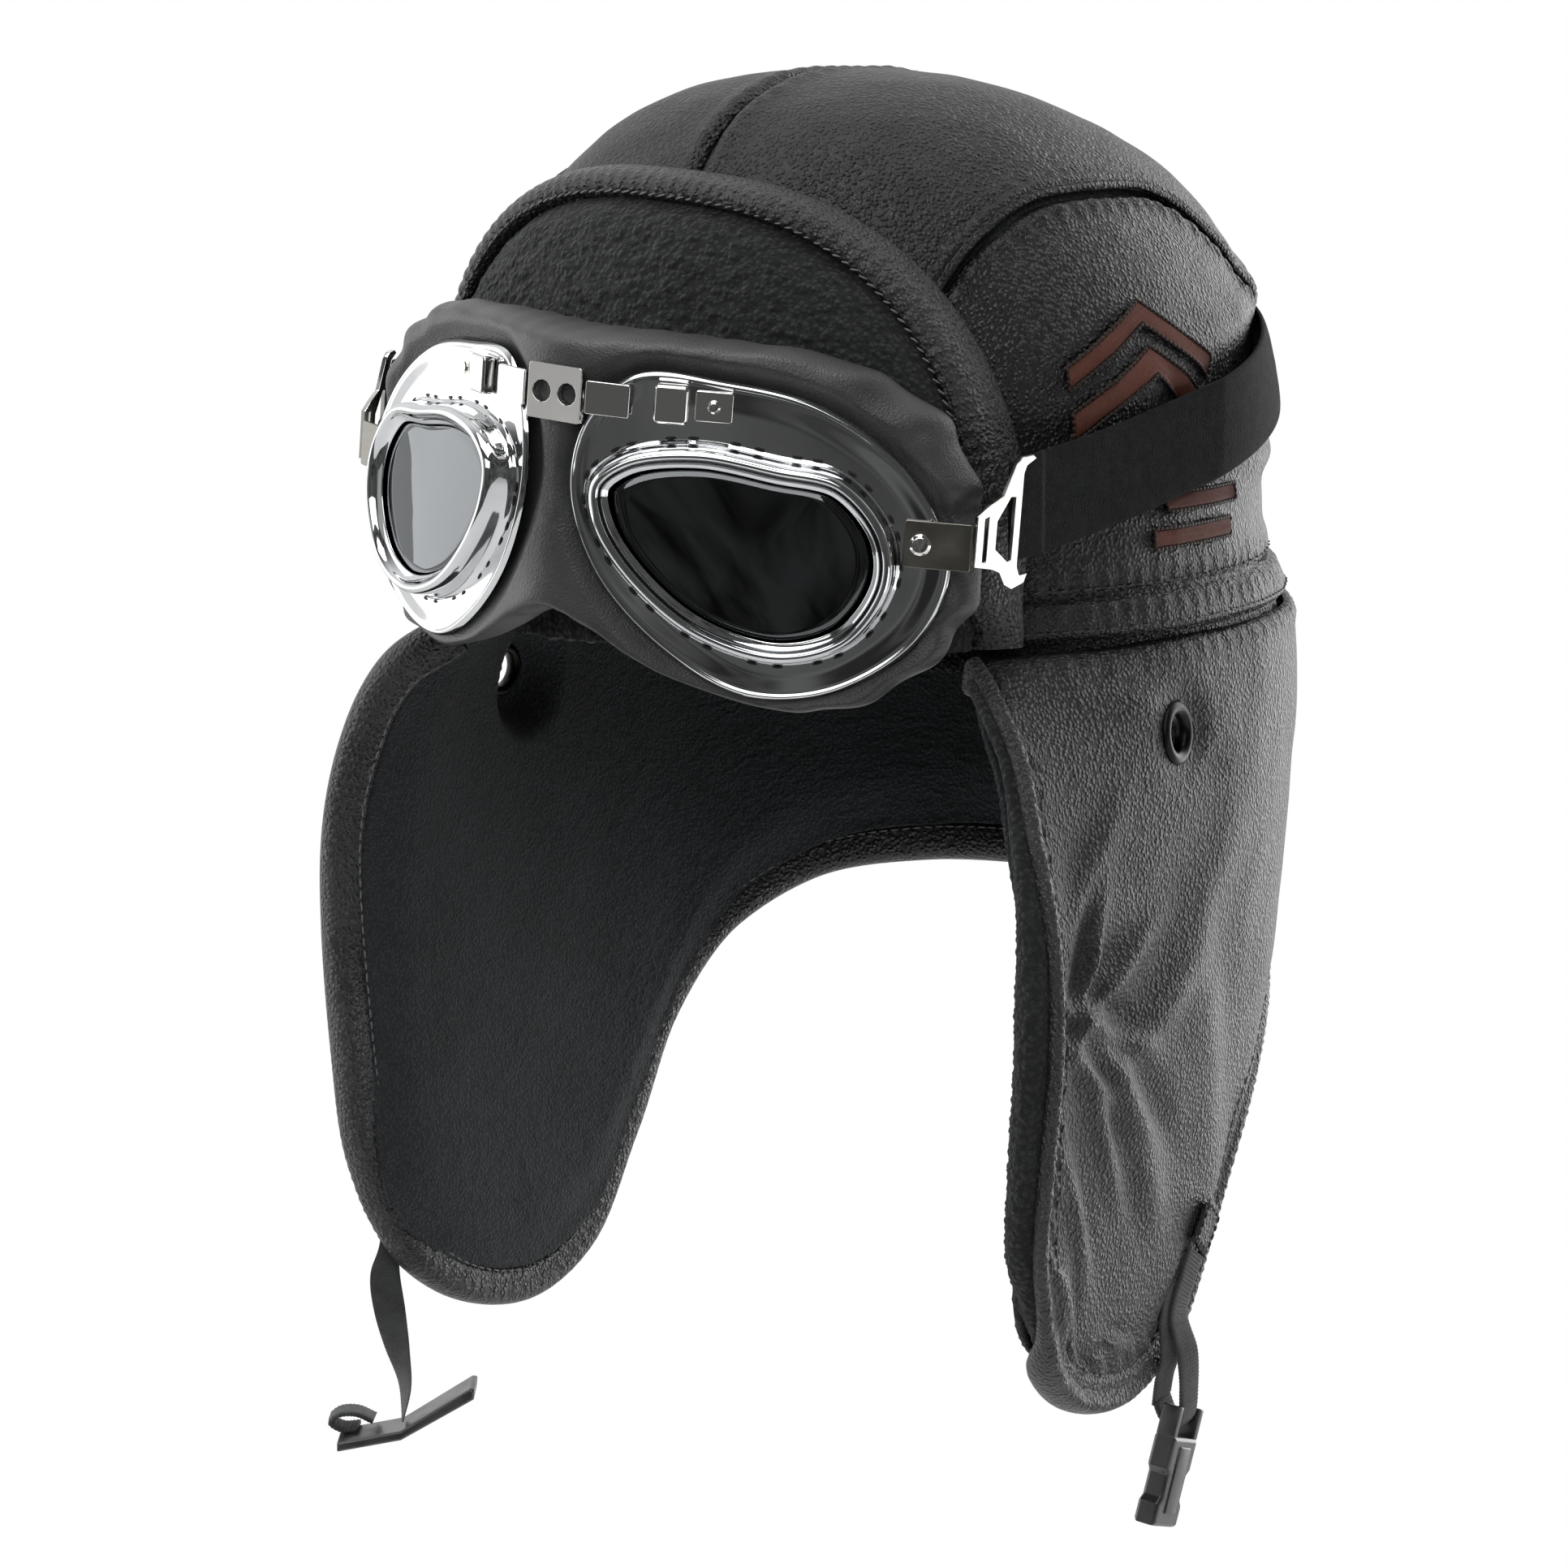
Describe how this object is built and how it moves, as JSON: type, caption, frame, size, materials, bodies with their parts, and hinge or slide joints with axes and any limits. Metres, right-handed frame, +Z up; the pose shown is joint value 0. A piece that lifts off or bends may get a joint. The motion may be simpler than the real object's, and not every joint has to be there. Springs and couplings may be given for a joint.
{
  "type": "bomber hat",
  "caption": "Bomber hat of black grained leather lined with fleece, with a turned-up front cuff, hanging ear and neck flap, chromed goggles on an elastic strap and an undone chin strap",
  "frame": {"origin": "centre of the opening at the brow seam, where a head carries the hat", "axes": "+Z up through the crown, -Y the way the face looks, +X the wearer's left"},
  "size_m": [0.2139, 0.2491, 0.349],
  "materials": {
    "leather": "black pebble-grained imitation leather, soft sheen",
    "fleece": "short curly black fleece",
    "padding": "smooth black imitation leather over foam",
    "chrome": "polished chrome plate",
    "glass": "dark smoked glass",
    "nickel": "polished nickel plate",
    "gunmetal": "dark bronzed steel",
    "elastic": "smooth woven black elastic",
    "webbing": "narrow ribbed black webbing",
    "plastic": "moulded black plastic"
  },
  "bodies": {
    "root": {"crown_top_left": "leather", "crown_top_right": "leather", "crown_side_left": "leather", "crown_side_right": "leather", "ear_neck_flap": "leather", "front_cuff_leather": "leather", "chin_tab_left": "leather", "chin_tab_right": "leather", "crown_lining": "fleece", "flap_lining": "fleece", "front_cuff_fleece": "fleece", "goggle_pad": "padding", "goggle_flange_left": "chrome", "goggle_flange_right": "chrome", "goggle_bezel_left": "chrome", "goggle_bezel_right": "chrome", "goggle_lens_left": "glass", "goggle_lens_right": "glass", "bridge_plate_left": "nickel", "bridge_plate_right": "nickel", "bridge_rivet_left": "nickel", "bridge_rivet_right": "nickel", "bridge_loop_left": "nickel", "bridge_loop_right": "nickel", "bridge_slide": "nickel", "bridge_strap": "nickel", "bridge_link": "nickel", "hook_buckle_left": "nickel", "hook_buckle_right": "nickel", "strap_tab_left": "gunmetal", "strap_tab_right": "gunmetal", "strap_tab_rivet_left": "gunmetal", "strap_tab_rivet_right": "gunmetal", "eyelet_left": "gunmetal", "eyelet_right": "gunmetal", "goggle_strap": "elastic", "chin_webbing_left": "webbing", "chin_webbing_right": "webbing", "buckle_socket_half": "plastic", "buckle_prong_half": "plastic"}
  },
  "joints": []
}
